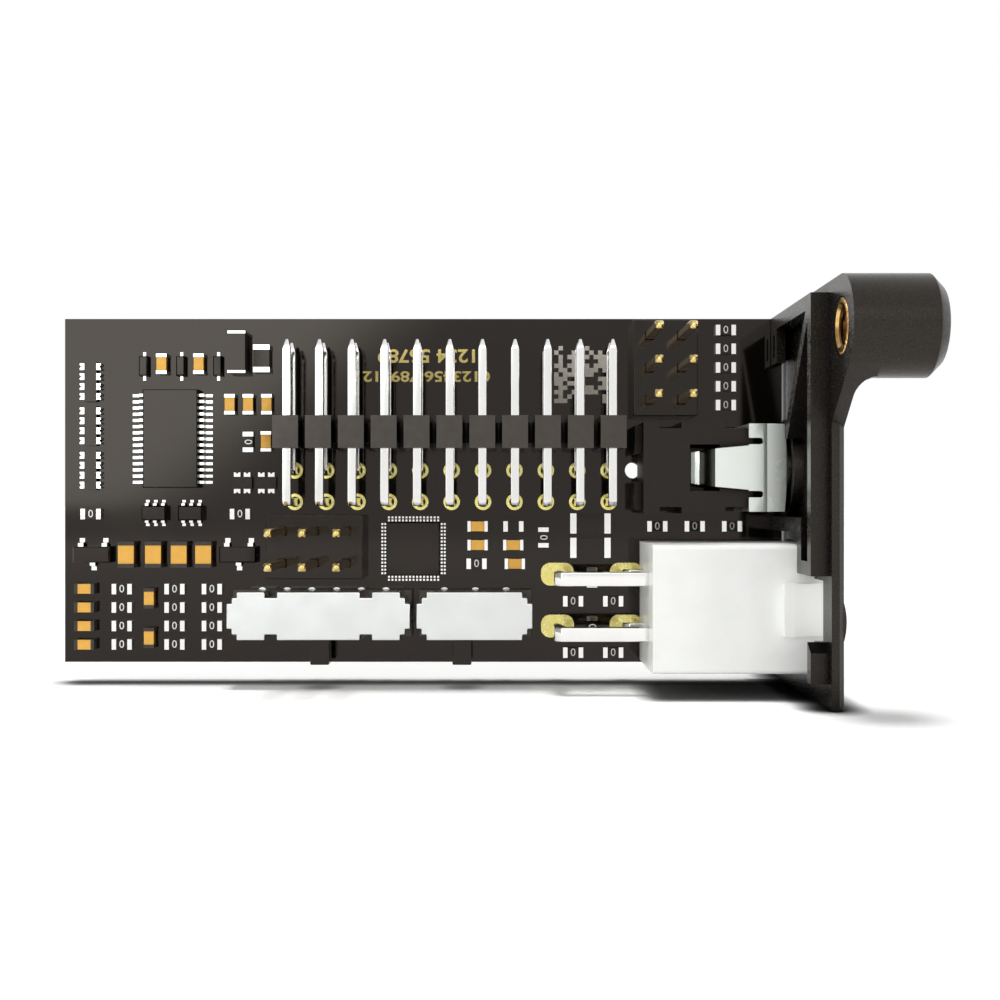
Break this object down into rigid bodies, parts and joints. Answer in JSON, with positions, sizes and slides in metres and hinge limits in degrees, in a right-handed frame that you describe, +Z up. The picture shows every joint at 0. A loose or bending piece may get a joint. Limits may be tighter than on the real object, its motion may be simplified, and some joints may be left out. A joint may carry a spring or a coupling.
{
  "type": "audio expansion card",
  "caption": "Small dark circuit card with pin headers, slide switches, a jack and a white power socket, closed by a moulded end bracket with a screw boss.",
  "frame": {"origin": "under the middle of the box, level with the lower edge of the end plate that the card stands on", "axes": "+X along the board to the end bracket, -Y out of the component face, +Z up"},
  "size_m": [0.065, 0.028, 0.0302],
  "materials": {
    "black_board": "glossy dark solder mask on laminate",
    "black_plastic": "moulded black plastic",
    "bracket_plastic": "fine spark texture",
    "white_nylon": "natural white nylon",
    "tin": "bright tin plating",
    "gold": "gold flash plating",
    "sheet_steel": "bright plated sheet",
    "brass_insert": "knurled brass",
    "ceramic_black": "dark glazed chip body",
    "ceramic_orange": "fired orange ceramic",
    "moulded_black": "moulded package"
  },
  "bodies": {
    "card": {"array_bodies": "ceramic_black", "array_leads": "tin", "capacitor_bodies": "ceramic_orange", "capacitor_leads": "tin", "circuit_board": "black_board", "converter_bodies": "moulded_black", "converter_leads": "tin", "diode_bodies": "moulded_black", "diode_leads": "tin", "dual_transistor_bodies": "moulded_black", "dual_transistor_leads": "tin", "end_bracket": "bracket_plastic", "filter_chip_bodies": "ceramic_black", "filter_chip_leads": "tin", "jack_body": "black_plastic", "jack_contacts": "tin", "jack_earth_clip": "sheet_steel", "large_capacitor_bodies": "ceramic_orange", "large_capacitor_leads": "tin", "long_header_body": "black_plastic", "long_header_lower_pins": "tin", "long_header_upper_pins": "tin", "mode_base": "black_plastic", "mode_frame": "sheet_steel", "mode_tails": "tin", "pair_array_bodies": "ceramic_black", "pair_array_leads": "tin", "power_chip_bodies": "ceramic_black", "power_chip_leads": "tin", "power_housing": "white_nylon", "power_lower_terminals": "tin", "power_upper_terminals": "tin", "processor_bodies": "moulded_black", "processor_leads": "tin", "resistor_bodies": "ceramic_black", "resistor_leads": "tin", "selector_base": "black_plastic", "selector_frame": "sheet_steel", "selector_tails": "tin", "stack_header_body_a": "black_plastic", "stack_header_body_b": "black_plastic", "stack_header_pins_a": "gold", "stack_header_pins_b": "gold", "tall_capacitor_bodies": "moulded_black", "tall_capacitor_leads": "tin", "threaded_insert": "brass_insert", "transistor_bodies": "moulded_black", "transistor_leads": "tin"},
    "selector_lever": {"selector_lever": "black_plastic"},
    "mode_lever": {"mode_lever": "black_plastic"}
  },
  "joints": [
    {"name": "selector_slide", "type": "slide", "parent": "card", "child": "selector_lever", "axis": [1, 0, 0], "range_m": [-0.002, 0.002]},
    {"name": "mode_slide", "type": "slide", "parent": "card", "child": "mode_lever", "axis": [1, 0, 0], "range_m": [0, 0.002]}
  ]
}
